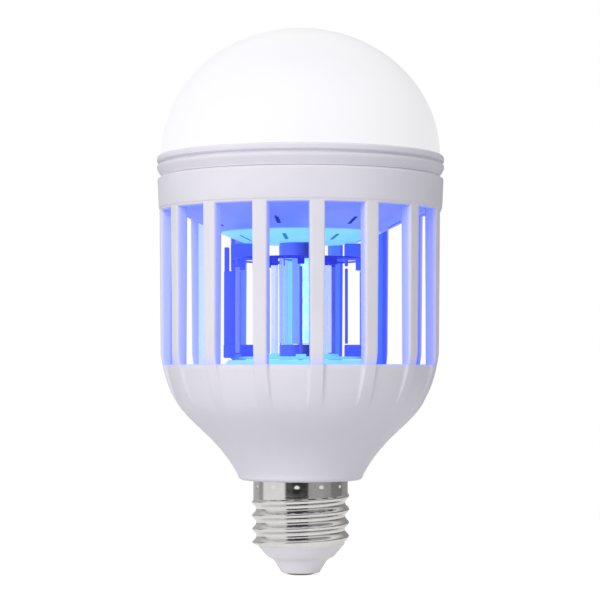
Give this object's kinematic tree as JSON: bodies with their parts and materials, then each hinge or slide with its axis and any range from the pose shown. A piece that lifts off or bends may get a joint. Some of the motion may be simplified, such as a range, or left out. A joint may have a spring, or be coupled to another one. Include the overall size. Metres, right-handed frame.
{
  "type": "insect killer light bulb",
  "caption": "Screw-in lamp with an opal light dome over an open ribbed cage that holds an electric insect grid round an ultraviolet lamp, on a tapered bowl and metal screw cap.",
  "frame": {"origin": "middle of the centre contact's lower face", "axes": "+Z along the bulb's axis from the screw cap to the top of the dome; a rib lies at +X"},
  "size_m": [0.0782, 0.0782, 0.1484],
  "materials": {
    "white_moulding": "satin moulded",
    "opal_dome": "opal, lit from inside",
    "lit_plate": "white plastic under ultraviolet light",
    "holder_plastic": "satin moulded",
    "grid_steel": "bright drawn",
    "sleeve_clear": "clear",
    "uv_chip": "lit",
    "post_aluminium": "plain",
    "plate_aluminium": "plain",
    "led_board_white": "coated board",
    "phosphor": "resin",
    "nickel": "rolled nickel plate",
    "contact_metal": "plated",
    "insulator_pale": "smooth",
    "board_green": "coated board",
    "winding_tape": "taped",
    "capacitor_sleeve": "shrunk sleeve",
    "film_red": "dipped",
    "black_resin": "moulded",
    "lead_insulation": "extruded"
  },
  "bodies": {
    "root": {"board_screw_1": "nickel", "board_screw_2": "nickel", "board_screw_3": "nickel", "cage_body": "white_moulding", "cap_insulator": "insulator_pale", "cap_lead": "lead_insulation", "capacitor_1": "capacitor_sleeve", "capacitor_2": "capacitor_sleeve", "ceiling_plate": "lit_plate", "centre_contact": "contact_metal", "diffuser_dome": "opal_dome", "driver_board": "board_green", "electrode_inner_1": "grid_steel", "electrode_inner_2": "grid_steel", "electrode_inner_3": "grid_steel", "electrode_inner_4": "grid_steel", "electrode_inner_5": "grid_steel", "electrode_inner_6": "grid_steel", "electrode_inner_7": "grid_steel", "electrode_inner_8": "grid_steel", "electrode_outer_1": "grid_steel", "electrode_outer_2": "grid_steel", "electrode_outer_3": "grid_steel", "electrode_outer_4": "grid_steel", "electrode_outer_5": "grid_steel", "electrode_outer_6": "grid_steel", "electrode_outer_7": "grid_steel", "electrode_outer_8": "grid_steel", "film_capacitor": "film_red", "floor_plate": "lit_plate", "grid_lower_holder": "holder_plastic", "grid_upper_ring": "holder_plastic", "heat_plate": "plate_aluminium", "lamp_sleeve": "sleeve_clear", "led_board": "led_board_white", "led_lead": "lead_insulation", "rectifier": "black_resin", "screw_shell": "nickel", "top_ring": "white_moulding", "transformer": "winding_tape", "uv_led_1": "uv_chip", "uv_led_2": "uv_chip", "uv_led_3": "uv_chip", "uv_led_4": "uv_chip", "uv_led_5": "uv_chip", "uv_led_6": "uv_chip", "uv_led_7": "uv_chip", "uv_led_8": "uv_chip", "uv_post": "post_aluminium", "white_led_1": "phosphor", "white_led_2": "phosphor", "white_led_3": "phosphor", "white_led_4": "phosphor", "white_led_5": "phosphor", "white_led_6": "phosphor"}
  },
  "joints": []
}
